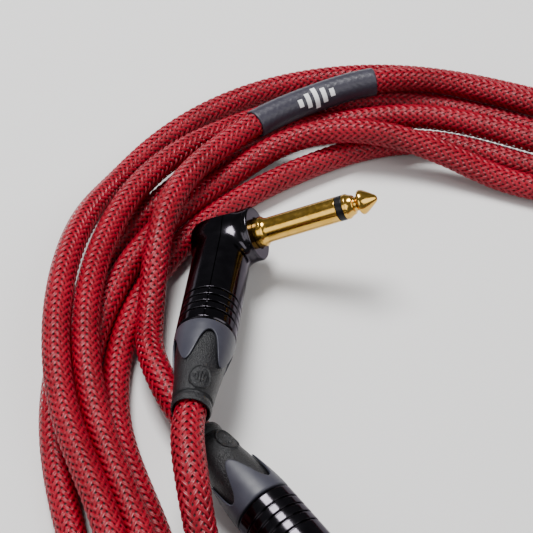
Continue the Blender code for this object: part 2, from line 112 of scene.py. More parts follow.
def spline(points, step):
    """A natural cubic through the points, read off at even steps."""
    p = np.array(points, float)
    n = len(p)
    h = np.linalg.norm(np.diff(p, axis=0), axis=1) ** 0.75
    system, right = np.zeros((n, n)), np.zeros_like(p)
    system[0, 0] = system[-1, -1] = 1
    for i in range(1, n - 1):
        system[i, i - 1:i + 2] = h[i - 1], 2 * (h[i - 1] + h[i]), h[i]
        right[i] = 6 * ((p[i + 1] - p[i]) / h[i] - (p[i] - p[i - 1]) / h[i - 1])
    bend = np.linalg.solve(system, right)
    fine = []
    for i in range(n - 1):
        d = np.linspace(0, h[i], 24, endpoint=False)[:, None]
        slope = (p[i + 1] - p[i]) / h[i] - h[i] * (2 * bend[i] + bend[i + 1]) / 6
        fine.append(p[i] + slope * d + bend[i] / 2 * d ** 2
                    + (bend[i + 1] - bend[i]) / (6 * h[i]) * d ** 3)
    fine = np.vstack(fine + [p[-1:]])
    run = np.concatenate([[0], np.cumsum(np.linalg.norm(np.diff(fine, axis=0), axis=1))])
    even = np.linspace(0, run[-1], int(round(run[-1] / step)) + 1)
    return np.stack([np.interp(even, run, fine[:, k]) for k in range(3)], 1)


def drape(need, step, reach=60, sag=60.0, soften=7.0):
    """A smooth line that stays on or above need: long low humps, as a cord makes over a crossing."""
    count = int(reach / step)
    off = np.arange(-count, count + 1) * step
    bell = np.exp(-0.5 * (off / soften) ** 2)
    bell /= bell.sum()

    def blur(values):
        return np.convolve(np.pad(values, count, mode="edge"), bell, mode="valid")

    padded = np.pad(need, count, mode="edge")
    hump = off ** 2 / (2 * sag)
    line = blur(np.array([(padded[i:i + len(off)] - hump).max() for i in range(len(need))]))
    for _ in range(6):
        short = np.pad(np.maximum(need - line, 0), 4)
        line = line + 1.2 * blur(np.array([short[i:i + 9].max() for i in range(len(need))]))
    return line


def cord_route():
    """The whole centreline in layout millimetres, each stretch lying on what was laid before it."""
    angled_rim = along(CORNER, BOOT_WAY, CORNER_TO_RIM)
    points = [tuple(along(angled_rim, BOOT_WAY, d)) for d in ANGLED_STEPS]
    points += LEAD
    first = len(points)
    for turn in TURNS:
        for station, radius in zip(STATIONS, turn):
            if radius:
                a = math.radians(station)
                points.append((COIL_CENTRE[0] + radius * math.cos(a),
                               COIL_CENTRE[1] + radius * math.sin(a), CORD_R))
    last = len(points) - 1
    back = [-x for x in STRAIGHT_AXIS]
    points += TAIL + [tuple(along(STRAIGHT_RIM, back, d)) for d in STRAIGHT_STEPS]
    route = spline(points, STEP)
    start, search = 0, []
    for point in points:
        ahead = route[start:start + 60, :2] - np.array(point[:2])
        start += int(np.argmin(np.hypot(ahead[:, 0], ahead[:, 1])))
        search.append(start)
    first, last = search[first], search[last]
    plan = route[:, :2]
    apart = np.hypot(plan[:, None, 0] - plan[None, :, 0], plan[:, None, 1] - plan[None, :, 1])
    rank = np.arange(len(route))
    between = (rank > first) & (rank < last)
    touch = 2 * CORD_R + LAY_GAP
    under = (apart < touch) & (rank[None] < rank[:, None] - OWN_REACH / STEP)
    under &= between[:, None] & between[None]
    upper, lower = np.nonzero(under)
    lift = np.sqrt(touch ** 2 - apart[upper, lower] ** 2)
    lowest = np.where(between, CORD_R, route[:, 2])
    height = lowest
    for _ in range(LAY_PASSES):
        need = lowest.copy()
        np.maximum.at(need, upper, height[lower] + lift)
        height = drape(need, STEP)
    blend = (np.clip((last + EASE_OUT / 2 - rank) / EASE_OUT, 0, 1)
             * np.clip((rank - first + EASE_IN / 2) / EASE_IN, 0, 1))
    blend = blend * blend * (3 - 2 * blend)
    route[:, 2] = route[:, 2] * (1 - blend) + height * blend
    return route


class Line:
    """The cord's centreline in the frame, with a normal and a binormal carried along it."""

    def __init__(self, points, step, reach=8, soften=3.0):
        run = np.concatenate([[0], np.cumsum(np.linalg.norm(np.diff(points, axis=0), axis=1))])
        self.length = run[-1]
        self.s = np.linspace(0, self.length, int(self.length / step) + 1)
        p = np.stack([np.interp(self.s, run, points[:, k]) for k in range(3)], 1)
        bell = np.exp(-0.5 * (np.arange(-reach, reach + 1) / soften) ** 2)
        bell /= bell.sum()
        p[reach:-reach] = np.stack([np.convolve(p[:, k], bell, mode="valid") for k in range(3)], 1)
        self.p = p
        t = np.gradient(p, axis=0)
        self.t = t / np.linalg.norm(t, axis=1)[:, None]
        n = np.zeros_like(p)
        n[0] = np.cross(self.t[0], (1, 0, 0))
        n[0] /= np.linalg.norm(n[0])
        for i in range(1, len(p)):
            v = n[i - 1] - self.t[i] * np.dot(n[i - 1], self.t[i])
            n[i] = v / np.linalg.norm(v)
        self.n = n
        self.b = np.cross(self.t, n)

    def at(self, s, angle, radius):
        """Points at distance s along the line, at an angle round it, radius away from it."""
        c = [np.stack([np.interp(s, self.s, v[:, k]) for k in range(3)], -1)
             for v in (self.p, self.n, self.b)]
        out = np.cos(angle)[..., None] * c[1] + np.sin(angle)[..., None] * c[2]
        return c[0] + out * np.asarray(radius)[..., None]


def to_frame(layout):
    """Layout millimetres taken to the frame's metres."""
    return (layout - np.array([*ORIGIN, 0])) * MM


HIDDEN = 6                     # samples of the route inside each housing that stay out of sight
LINE_STEP = 0.0005
line = Line(to_frame(cord_route())[HIDDEN:-HIDDEN], LINE_STEP)

# ---------------------------------------------------------------- making things


def add(name, data, look, body="root"):
    """An object in the scene, in one material, riding on a body."""
    obj = bpy.data.objects.new(name, data)
    bpy.context.scene.collection.objects.link(obj)
    data.materials.append(look)
    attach(obj, body)
    return obj


def grid_mesh(name, points, close_around=False):
    """A mesh over a (rows, columns, 3) grid of points."""
    rows, cols = points.shape[:2]
    index = np.arange(rows * cols).reshape(rows, cols)
    if close_around:
        index = np.concatenate([index, index[:, :1]], 1)
    quads = np.stack([index[:-1, :-1], index[:-1, 1:], index[1:, 1:], index[1:, :-1]], -1)
    return quads_mesh(name, points.reshape(-1, 3), quads.reshape(-1, 4))


def quads_mesh(name, points, quads, uv=None):
    """A smooth mesh of four-sided faces, with a place on the strand for each point if given."""
    mesh = bpy.data.meshes.new(name)
    mesh.vertices.add(len(points))
    mesh.vertices.foreach_set("co", np.ascontiguousarray(points, np.float32).ravel())
    mesh.loops.add(quads.size)
    mesh.loops.foreach_set("vertex_index", np.ascontiguousarray(quads, np.int32).ravel())
    mesh.polygons.add(len(quads))
    mesh.polygons.foreach_set("loop_start", np.arange(0, quads.size, 4, dtype=np.int32))
    mesh.update(calc_edges=True)
    mesh.polygons.foreach_set("use_smooth", np.ones(len(quads), bool))
    if uv is not None:
        layer = mesh.uv_layers.new(name="strand")
        layer.data.foreach_set("uv", np.ascontiguousarray(uv[quads.ravel()], np.float32).ravel())
    mesh.validate()
    return mesh


# ---------------------------------------------------------------- materials

def principled(name, colour, roughness, metallic=0.0, **sockets):
    """A new material with its node tree and shader, ready for its detail."""
    made = bpy.data.materials.new(name)
    made.use_nodes = True
    nodes, links = made.node_tree.nodes, made.node_tree.links
    shader = nodes["Principled BSDF"]
    shader.inputs["Base Color"].default_value = (*colour, 1)
    shader.inputs["Roughness"].default_value = roughness
    shader.inputs["Metallic"].default_value = metallic
    for socket, value in sockets.items():
        shader.inputs[socket].default_value = value
    return made, nodes, links, shader


NOISE_ROUGHNESS = 0.6
NOISE_LOW, NOISE_HIGH = 0.3, 0.7         # where nearly all of the noise lies


def noise(nodes, links, scale, detail):
    """Noise over the object's own coordinates, in metres."""
    place = nodes.new("ShaderNodeTexCoord")
    made = nodes.new("ShaderNodeTexNoise")
    made.inputs["Scale"].default_value = scale
    made.inputs["Detail"].default_value = detail
    made.inputs["Roughness"].default_value = NOISE_ROUGHNESS
    links.new(place.outputs["Object"], made.inputs["Vector"])
    return made.outputs["Fac"]


def shade(nodes, links, shader, value, dark, light, low=NOISE_LOW, high=NOISE_HIGH):
    """Base colour from dark to light as the value goes from low to high."""
    made = nodes.new("ShaderNodeValToRGB")
    for stop, position, colour in zip(made.color_ramp.elements, (low, high), (dark, light)):
        stop.position, stop.color = position, (*colour, 1)
    links.new(value, made.inputs["Fac"])
    links.new(made.outputs["Color"], shader.inputs["Base Color"])


def vary(nodes, links, shader, socket, value, low, high):
    """The socket goes from low to high with the value."""
    spread = nodes.new("ShaderNodeMapRange")
    spread.inputs["From Min"].default_value = NOISE_LOW
    spread.inputs["From Max"].default_value = NOISE_HIGH
    spread.inputs["To Min"].default_value = low
    spread.inputs["To Max"].default_value = high
    links.new(value, spread.inputs["Value"])
    links.new(spread.outputs["Result"], shader.inputs[socket])


def bump(nodes, links, shader, height, strength, distance):
    """Relief in the shader's normal, its depth in metres."""
    made = nodes.new("ShaderNodeBump")
    made.inputs["Strength"].default_value = strength
    made.inputs["Distance"].default_value = distance
    links.new(height, made.inputs["Height"])
    links.new(made.outputs["Normal"], shader.inputs["Normal"])


def black_chrome():
    """Dark mirror plating with faint smudges."""
    made, nodes, links, shader = principled("black_chrome", (0.035, 0.033, 0.038), 0.12, 1.0,
                                            **{"Specular Tint": (0.62, 0.60, 0.64, 1)})
    smudge = noise(nodes, links, 260, 5)
    shade(nodes, links, shader, smudge, (0.034, 0.031, 0.036), (0.050, 0.046, 0.054), 0.35, 0.75)
    vary(nodes, links, shader, "Roughness", smudge, 0.10, 0.18)
    return made


def gold_plate():
    """Gold with a little change of shade and fine handling marks."""
    made, nodes, links, shader = principled("gold_plate", (0.68, 0.40, 0.075), 0.16, 1.0)
    shade(nodes, links, shader, noise(nodes, links, 300, 6), (0.60, 0.34, 0.05), (0.76, 0.46, 0.10))
    vary(nodes, links, shader, "Roughness", noise(nodes, links, 900, 3), 0.11, 0.23)
    return made


def plastic(name, dark, light, low, high, grain=1500, strength=0.1, depth=0.0002, shine=0.5):
    """Moulded plastic or rubber: two shades, roughness from low to high, and a fine grain."""
    made, nodes, links, shader = principled(name, dark, low, **{"Specular IOR Level": shine})
    spots = noise(nodes, links, 220, 5)
    shade(nodes, links, shader, spots, dark, light)
    vary(nodes, links, shader, "Roughness", spots, low, high)
    bump(nodes, links, shader, noise(nodes, links, grain, 3), strength, depth)
    return made


def bare_metal(name, colour, roughness, low, high, grain, detail):
    """Unpolished metal, dull in patches."""
    made, nodes, links, shader = principled(name, colour, roughness, 1.0)
    vary(nodes, links, shader, "Roughness", noise(nodes, links, grain, detail), low, high)
    return made


def braid():
    """Glossy red filament: fine lines along each strand, and a little change of shade."""
    made, nodes, links, shader = principled("red_braid", (0.26, 0.0, 0.011), 0.33,
                                            **{"Specular IOR Level": 0.36})
    shade(nodes, links, shader, noise(nodes, links, 90, 3), (0.205, 0.0, 0.008), (0.32, 0.0, 0.015))
    vary(nodes, links, shader, "Roughness", noise(nodes, links, 1600, 2), 0.24, 0.38)
    where = nodes.new("ShaderNodeUVMap")
    where.uv_map = "strand"
    filaments = nodes.new("ShaderNodeTexWave")
    filaments.wave_type, filaments.bands_direction = "BANDS", "X"
    filaments.inputs["Scale"].default_value = 0.95
    filaments.inputs["Distortion"].default_value = 0.6
    filaments.inputs["Detail"].default_value = 1.0
    links.new(where.outputs["UV"], filaments.inputs["Vector"])
    bump(nodes, links, shader, filaments.outputs["Fac"], 0.5, 0.00015)
    return made


RED = braid()
INNER = plastic("cord_jacket", (0.008, 0.008, 0.009), (0.016, 0.015, 0.017), 0.45, 0.6)
CHROME = black_chrome()
GOLD = gold_plate()
INSULATOR = plastic("insulator_black", (0.005, 0.005, 0.006), (0.009, 0.009, 0.010), 0.3, 0.42,
                    shine=0.2)
SHELL_GREY = plastic("boot_grey", (0.031, 0.031, 0.043), (0.041, 0.041, 0.055), 0.36, 0.48,
                     grain=2600, strength=0.04, shine=0.32)
BUSH_DARK = plastic("bushing_dark", (0.004, 0.004, 0.005), (0.009, 0.009, 0.011), 0.32, 0.44,
                    grain=2900, strength=0.85, depth=0.00032, shine=0.36)
LABEL = plastic("label_sleeve", (0.026, 0.024, 0.036), (0.037, 0.034, 0.050), 0.32, 0.44,
                grain=2600, strength=0.35, shine=0.4)
WHITE = plastic("mark_white", (0.72, 0.72, 0.74), (0.82, 0.82, 0.84), 0.4, 0.55)
WIRE_RED = plastic("wire_red", (0.42, 0.02, 0.02), (0.5, 0.03, 0.03), 0.35, 0.5)
TIN = bare_metal("tinned_metal", (0.72, 0.71, 0.69), 0.3, 0.22, 0.42, 700, 5)
COPPER = bare_metal("bare_copper", (0.75, 0.36, 0.2), 0.32, 0.25, 0.45, 900, 4)

# ---------------------------------------------------------------- the cord

STRANDS = 12                   # in each direction
REPEAT = 0.0021                # along the cord, from one hole to the next
STRAND_W = 0.00085
BRAID_R = 0.00327
WAVE = 0.00016                 # how far a strand rises and dips as it goes over and under
PIECES = 14
STRAND_ACROSS = (-0.5, -0.2, 0.2, 0.5)   # a strand's four points, as shares of its width
STRAND_CROWN = (-0.00015, 0.0, 0.0, -0.00015)
UV_PER_METRE = 100
CORE_R, CORE_SKIP = 0.00288, 6
SWELL_ANGLED = (0.034, 0.014, 0.00034)   # how far from the cord's end, how wide, how high
SWELL_STRAIGHT = (0.028, 0.012, 0.0002)


def swell(s):
    """How far the braid stands off the cord: a little next to each boot, more at the angled one."""
    return sum(high * np.exp(-((run - middle) / wide) ** 2)
               for run, (middle, wide, high) in ((s, SWELL_ANGLED),
                                                 (line.length - s, SWELL_STRAIGHT)))


def braid_piece(name, start, stop):
    """Both families of strands between two crossings, each over two and under two."""
    step = REPEAT / 2
    spacing = math.pi / STRANDS
    tilt = math.atan2(spacing * BRAID_R, step)
    across = np.array(STRAND_ACROSS) * STRAND_W
    t = np.arange(2 * start, 2 * stop + 1) / 2.0
    whole = np.floor(t)
    count, wide = len(t), len(across)
    index = np.arange(count * wide).reshape(count, wide)
    face = np.stack([index[:-1, :-1], index[:-1, 1:], index[1:, 1:], index[1:, :-1]], -1)
    strand_uv = np.stack([np.broadcast_to(across / STRAND_W + 0.5, (count, wide)),
                          np.broadcast_to(t[:, None] * step * UV_PER_METRE, (count, wide))], -1)
    points, quads = [], []
    for way in (1, -1):
        for strand in range(STRANDS):
            on_top = np.where((2 * strand + way * whole) % 4 < 2, way, -way)
            next_top = np.where((2 * strand + way * (whole + 1)) % 4 < 2, way, -way)
            lift = WAVE * (on_top + (t - whole) * (next_top - on_top))
            s = np.clip((t * step)[:, None] - way * across[None] * math.sin(tilt), 0, line.length)
            angle = (((2 * strand + way * t) * spacing)[:, None]
                     + across[None] * math.cos(tilt) / BRAID_R)
            radius = BRAID_R + lift[:, None] + np.array(STRAND_CROWN)[None] + swell(s)
            quads.append((face[..., ::-way] + len(points) * count * wide).reshape(-1, 4))
            points.append(line.at(s, angle, radius).reshape(-1, 3))
    mesh = quads_mesh(name, np.vstack(points), np.vstack(quads),
                      np.tile(strand_uv.reshape(-1, 2), (len(points), 1)))
    return add(name, mesh, RED)


def cord():
    """The dark jacket, the braid over it in pieces, and the label, in place of the CAD cord's nodes.
    """
    core = bpy.data.curves.new("cable_core", "CURVE")
    core.dimensions = "3D"
    core.bevel_depth = CORE_R
    core.bevel_resolution = 3
    core.use_fill_caps = True
    path, bulge = line.p[::CORE_SKIP], swell(line.s[::CORE_SKIP])
    strip = core.splines.new("POLY")
    strip.points.add(len(path) - 1)
    strip.points.foreach_set("co", np.column_stack([path, np.ones(len(path))]).ravel())
    strip.points.foreach_set("radius", 1 + bulge / CORE_R)
    core_piece = add("cable_core", core, INNER)
    steps = int(line.length / (REPEAT / 2))
    marks = np.linspace(0, steps, PIECES + 1).astype(int)
    braids = [braid_piece(f"cable_braid_{i + 1:02d}", a, b)
              for i, (a, b) in enumerate(zip(marks[:-1], marks[1:]))]
    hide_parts("cable_coil", "cable_lead", "cable_tail")
    sleeve, bars = label()


LABEL_AT, LABEL_LENGTH, LABEL_R = 4.1812, 0.038, 0.00395     # from the cord's angled end
LABEL_ROWS, LABEL_COLS = 150, 144
LIP, LIP_DROPS = 0.0002, (-0.00045, -0.0001)   # the rounded edge: its length, its points' depths
SHOW_THROUGH = 0.00002                         # relief of the braid under the sleeve
BAR_TALL = (0.0022, 0.0042, 0.0062, 0.0042, 0.0022)
BAR_PITCH, BAR_WIDE, BAR_RAISED = 0.0026, 0.00144, 0.00008
BAR_ROWS, BAR_COLS = 5, 17


def label():
    """The heat-shrink sleeve on the last turn, with a plain printed sign of five bars."""
    stop = LABEL_AT + LABEL_LENGTH
    s = np.concatenate([[LABEL_AT] * 2, np.linspace(LABEL_AT + LIP, stop - LIP, LABEL_ROWS),
                        [stop] * 2])
    lip = np.concatenate([LIP_DROPS, np.zeros(LABEL_ROWS), LIP_DROPS[::-1]])
    around = np.linspace(0, 2 * math.pi, LABEL_COLS, endpoint=False)
    weave = (SHOW_THROUGH * np.cos(2 * math.pi * s / REPEAT)[:, None]
             * np.cos(STRANDS * around)[None])
    points = line.at(np.repeat(s[:, None], LABEL_COLS, 1), np.repeat(around[None], len(s), 0),
                     LABEL_R + lip[:, None] + weave)
    sleeve = add("length_label_sleeve", grid_mesh("length_label_sleeve", points, True), LABEL)
    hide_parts("length_label")
    middle = LABEL_AT + LABEL_LENGTH / 2
    k = int(np.searchsorted(line.s, middle))
    facing = np.array(CAMERA_AT) - line.p[k]
    face_angle = math.atan2(np.dot(facing, line.b[k]), np.dot(facing, line.n[k]))
    bars = []
    for i, tall in enumerate(BAR_TALL):
        at = middle + (i - 2) * BAR_PITCH
        s = np.linspace(at - BAR_WIDE / 2, at + BAR_WIDE / 2, BAR_ROWS)
        a = face_angle + np.linspace(-tall / 2, tall / 2, BAR_COLS) / LABEL_R
        points = line.at(np.repeat(s[:, None], BAR_COLS, 1), np.repeat(a[None], BAR_ROWS, 0),
                         np.full((BAR_ROWS, BAR_COLS), LABEL_R + BAR_RAISED))
        bar = add(f"label_bar_{i + 1}", grid_mesh(f"label_bar_{i + 1}", points), WHITE)
        bars.append(bar)
    return sleeve, bars


cord()

# ---------------------------------------------------------------- the plugs' frames and profiles

NEARLY_STRAIGHT = -0.97        # a corner flatter than this isn't rounded
HOLD = 2.4                     # radii from a corner to the point that keeps the flat beside it flat
DOUBLED, EMPTY = 2e-7, 1e-8    # metres: points merged, edges dropped

def axis_frame(origin_mm, z, x):
    """A frame at a layout point, with Z along one way and X close to another."""
    z = Vector(z).normalized()
    x = Vector(x)
    x = (x - z * x.dot(z)).normalized()
    turn = Matrix((x, z.cross(x), z)).transposed().to_4x4()
    place = Vector(origin_mm) - Vector((*ORIGIN, 0))
    return Matrix.Translation(place * MM) @ turn @ Matrix.Scale(MM, 4)


def through(points, place):
    """Points in a plug's frame, in millimetres, taken to the world."""
    m = np.array(place)
    return points @ m[:3, :3].T + m[:3, 3]


def rounded(profile, radius=0.15, closed=True):
    """The profile with each real corner turned into a small curve."""
    p = [np.array(q, float) for q in profile]
    out = []
    for i, b in enumerate(p):
        if not closed and i in (0, len(p) - 1):
            out.append(b)
            continue
        a, c = p[i - 1], p[(i + 1) % len(p)]
        back, ahead = a - b, c - b
        lb, la = np.linalg.norm(back), np.linalg.norm(ahead)
        if np.dot(back, ahead) / (lb * la) < NEARLY_STRAIGHT:
            out.append(b)
            continue
        back, ahead = back / lb, ahead / la
        rb, ra = min(radius, 0.4 * lb), min(radius, 0.4 * la)
        if HOLD * rb < 0.45 * lb:
            out.append(b + back * HOLD * rb)
        for t in (0, 0.25, 0.5, 0.75, 1):
            out.append((1 - t) ** 2 * (b + back * rb) + 2 * t * (1 - t) * b
                       + t ** 2 * (b + ahead * ra))
        if HOLD * ra < 0.45 * la:
            out.append(b + ahead * HOLD * ra)
    return np.array(out)


def revolve(profile, segments=128, radius=0.15, closed=True):
    """A (rows, columns, 3) grid of the profile of (radius, height) turned about Z."""
    outline = rounded(profile, radius, closed)
    if closed:
        outline = np.vstack([outline, outline[:1]])
    a = np.linspace(0, 2 * math.pi, segments, endpoint=False)
    return np.stack([outline[:, :1] * np.cos(a), outline[:, :1] * np.sin(a),
                     np.repeat(outline[:, 1:], segments, 1)], -1)


def weld(mesh):
    """Merges doubled points, drops empty faces, turns faces outward."""
    bm = bmesh.new()
    bm.from_mesh(mesh)
    bmesh.ops.remove_doubles(bm, verts=bm.verts, dist=DOUBLED)
    bmesh.ops.dissolve_degenerate(bm, edges=bm.edges, dist=EMPTY)
    bmesh.ops.recalc_face_normals(bm, faces=bm.faces)
    bm.to_mesh(mesh)
    bm.free()
    return mesh


def piece(name, grids, place, body, look, node):
    """One object, from grids that are closed round their axis, that stands for one CAD node."""
    points, quads, base = [], [], 0
    for grid in grids:
        rows, cols = grid.shape[:2]
        index = np.arange(rows * cols).reshape(rows, cols) + base
        index = np.concatenate([index, index[:, :1]], 1)
        quads.append(np.stack([index[:-1, :-1], index[:-1, 1:], index[1:, 1:], index[1:, :-1]],
                              -1).reshape(-1, 4))
        points.append(through(grid.reshape(-1, 3), place))
        base += rows * cols
    mesh = weld(quads_mesh(name, np.vstack(points), np.vstack(quads)))
    obj = add(name, mesh, look, body)
    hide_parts(node)
    return obj


def spin(name, profile, place, look, node, radius, closed=True, segments=128):
    """A turned piece that stays with the plug and stands for one CAD node."""
    grid = revolve(profile, segments, radius, closed)
    return piece(name, [grid], place, "root", look, node)


# ---------------------------------------------------------------- the jack

# Millimetres from the shoulder, as everywhere in the plugs' frames.
JACK_R, FINGER, SLEEVE_TOP, RING_TOP, GAP = 3.175, 31.0, 20.8, 22.5, 0.1
FLANGE_T, SEAT_R, SEAT_DEPTH, FACE = 1.5, 4.15, 0.5, 1.3
BORE_CLEAR = 0.15              # round the finger where it leaves its housing


def jack(prefix, place):
    """Sleeve, insulating ring and the tip's ball, neck and collar."""
    spin(prefix + "_sleeve_turned", [
        (JACK_R - 0.12, SLEEVE_TOP), (JACK_R, SLEEVE_TOP - 0.12), (JACK_R, 2.2), (3.19, 1.8),
        (3.26, 1.4), (3.38, 1.08), (3.6, 0.82), (3.85, 0.62), (3.85, -FLANGE_T),
        (3.0, -FLANGE_T), (3.0, -5.0), (2.4, -5.0), (2.4, SLEEVE_TOP)],
        place, GOLD, prefix + "_jack_sleeve", radius=0.1)
    spin(prefix + "_ring_moulded", [
        (JACK_R - 0.06, RING_TOP), (JACK_R - 0.02, RING_TOP - 0.1),
        (JACK_R - 0.02, SLEEVE_TOP + GAP),
        (2.1, SLEEVE_TOP + GAP), (2.1, -6.6), (1.5, -6.6), (1.5, RING_TOP)],
        place, INSULATOR, prefix + "_insulator", radius=0.06)
    spin(prefix + "_tip_turned", [
        (0, FINGER), (0.4, 30.96), (0.72, 30.8), (1.0, 30.5), (1.7, 29.5), (2.4, 28.5), (2.72, 28.0),
        (2.95, 27.6), (3.08, 27.25), (3.1, 26.95), (3.0, 26.65), (2.7, 26.4), (2.2, 26.2),
        (1.9, 26.0), (1.8, 25.8), (1.8, 25.35), (1.9, 25.15), (2.3, 25.05), (2.45, 24.85),
        (2.62, 24.3), (2.8, 23.9), (3.0, 23.6), (JACK_R, 23.35),
        (JACK_R, RING_TOP + GAP), (1.2, RING_TOP + GAP), (1.2, -8.6), (0, -8.6)],
        place, GOLD, prefix + "_tip_contact", radius=0.07, closed=False)


# ---------------------------------------------------------------- the strain relief

SHELL_R, CROWN = 7.25, -3.4
WINDOW = ((0, 5, 12, 16, 20, 24, 31, 38, 45),            # degrees from a window's middle
          (0, 0.15, 1.1, 2.1, 3.5, 5.1, 7.2, 8.4, 8.8))  # how far the shell reaches past its crown
SKIRT = ((0.8, 2.0, 4.0, 6.5, 9.0, 12.3),                # behind the rim
         (7.25, 7.22, 7.08, 6.84, 6.5, 5.98))            # the shell's radius there
SKIRT_TOP = ((6.1, -0.35), (6.4, -0.35), (6.85, -0.35), (7.05, -0.4), (7.2, -0.55), (7.25, -0.8))
LIP_ROLL = ((0.03, 0.16), (0.1, 0.06), (0.24, 0.0), (0.4, 0.05), (0.5, 0.22))
SKIRT_SEGMENTS, SKIRT_WALL = 288, 0.52


def window_edge(angle):
    """How far the shell reaches at an angle from a window's middle: a bell, low at the crown."""
    return CROWN - np.interp(np.abs((np.degrees(angle) + 45) % 90 - 45), *WINDOW)


def boot_shell(prefix, place, phase):
    """The hard shell: a flared skirt with four bell-shaped windows and a rounded lip."""
    a = np.linspace(0, 2 * math.pi, SKIRT_SEGMENTS, endpoint=False)
    edge = window_edge(a - phase)
    bell = np.exp(-0.5 * (np.arange(-6, 7) / 2.4) ** 2)
    edge = np.convolve(np.concatenate([edge[-6:], edge, edge[:6]]), bell / bell.sum(), "valid")

    def ring(z, inset):
        """Points round the shell at heights z, this far inside its outer face."""
        thin = np.interp(-z, [7.0, 12.0], [1.0, 0.6])
        return np.stack([np.interp(-z, *SKIRT) - inset * thin, z], -1)

    grid = [np.stack([r + 0 * a, z + 0 * a], -1) for r, z in SKIRT_TOP]
    outside, inside = SKIRT_TOP[-1][1], -0.9
    grid += [ring(outside + (edge + 0.3 - outside) * t, 0) for t in np.linspace(0.05, 1, 24)]
    grid += [ring(edge + back, inset) for inset, back in LIP_ROLL]
    turned = edge + LIP_ROLL[-1][1]
    grid += [ring(turned + (inside - turned) * t, SKIRT_WALL) for t in np.linspace(0.1, 1, 8)]
    g = np.array(grid + grid[:1])
    xyz = np.stack([g[..., 0] * np.cos(a), g[..., 0] * np.sin(a), g[..., 1]], -1)
    piece(prefix + "_boot_skirt", [xyz], place, prefix + "_boot", SHELL_GREY,
          prefix + "_boot_shell")


BADGE_Z, BADGE_HIGH, BADGE_WIDE = -17.2, 3.35, 2.65
BADGE_RING, BADGE_PAD, BADGE_SIGN = 0.32, 0.10, 0.2      # how far each stands up
BADGE_BARS, BADGE_PITCH, BADGE_BAR = (0.6, 1.1, 1.6, 1.1, 0.6), 0.66, 0.24
BADGE_BEVEL = 0.12
BADGE_SIDE = math.radians(34)  # half the angle that has fine columns
BADGE_BAND = (-21, -12)
BUSHING_SKIN = 4.3             # the bushing's outer face is further out than this
FINE, COARSE = 0.07, 0.9       # the spacing of rows across the badge and elsewhere


def badge_height(y, z):
    """A raised oval ring round a shallow dish with five plain bars."""
    e = np.hypot(y / BADGE_WIDE, z / BADGE_HIGH)
    ring = BADGE_RING * np.exp(-((e - 0.92) / 0.055) ** 2)
    pad = BADGE_PAD * np.clip((1.0 - e) / 0.08, 0, 1)
    bars = 0
    for k, tall in enumerate(BADGE_BARS):
        across = np.abs(y - (k - 2) * BADGE_PITCH)
        bars = np.maximum(bars, np.clip((BADGE_BAR - across) / BADGE_BEVEL, 0, 1)
                          * np.clip((tall - np.abs(z)) / BADGE_BEVEL, 0, 1))
    return ring + pad + BADGE_SIGN * bars


def bushing(prefix, place, phase):
    """The soft boot: tapered, a raised badge in two windows, an end ring behind a groove."""
    profile = rounded([
        (5.7, 7.0), (5.7, 0.4), (5.7, -0.3), (6.3, -1.0), (6.3, -4.0), (6.03, -8.0), (5.6, -11.8),
        (5.25, -14.5), (4.95, -17.5), (4.72, -20.0), (4.6, -20.6), (4.15, -20.85), (4.15, -21.4),
        (4.6, -21.7), (4.68, -22.5), (4.45, -BOOT_LENGTH), (4.15, -BOOT_LENGTH),
        (3.98, -BOOT_LENGTH + 0.4), (3.98, -21.6), (3.82, -20.0), (3.75, -15.0), (3.75, -8.6),
        (4.0, -8.3), (4.75, -6.0), (4.75, 7.0)], 0.2)
    fine = [profile[0]]
    for a, b in zip(profile, np.vstack([profile[1:], profile[:1]])):
        badge = (max(a[1], b[1]) > BADGE_Z - 4 and min(a[1], b[1]) < BADGE_Z + 4
                 and a[0] > BUSHING_SKIN)
        count = int(np.ceil(np.linalg.norm(b - a) / (FINE if badge else COARSE)))
        fine += [a + (b - a) * t for t in np.linspace(0, 1, count + 1)[1:]]
    outline = np.array(fine)
    columns = []
    for middle in (phase, phase + math.pi):
        columns.append(np.linspace(middle - BADGE_SIDE, middle + BADGE_SIDE, 90))
        columns.append(np.linspace(middle + BADGE_SIDE, middle + math.pi - BADGE_SIDE, 40)[1:-1])
    a = np.unique(np.concatenate(columns))
    r = np.repeat(outline[:, :1], len(a), 1)
    z = np.repeat(outline[:, 1:], len(a), 1)
    off = (a - phase + math.pi / 2) % math.pi - math.pi / 2
    outside = (r > BUSHING_SKIN) & (z > BADGE_BAND[0]) & (z < BADGE_BAND[1])
    r = r + np.where(outside, badge_height(off * r, z - BADGE_Z), 0)
    xyz = np.stack([r * np.cos(a), r * np.sin(a), z], -1)
    piece(prefix + "_boot_soft", [xyz], place, prefix + "_boot", BUSH_DARK,
          prefix + "_bushing")


# ---------------------------------------------------------------- the housings

GROOVES = [3.2 + 2.4 * i for i in range(4)]
GROOVE_W, GROOVE_D, BORE_R, BORE_DEPTH, CAVITY_R = 0.6, 0.5, 6.0, 8.0, 5.6


def grooved_side(top):
    """The outside of a housing from a height down to its rim, through the four grooves."""
    wall = [(SHELL_R, top)]
    for z in reversed(GROOVES):
        wall += [(SHELL_R, z + GROOVE_W / 2), (SHELL_R - GROOVE_D, z + GROOVE_W / 4),
                 (SHELL_R - GROOVE_D, z - GROOVE_W / 4), (SHELL_R, z - GROOVE_W / 2)]
    return wall + [(SHELL_R, 0.4), (SHELL_R - 0.3, 0)]


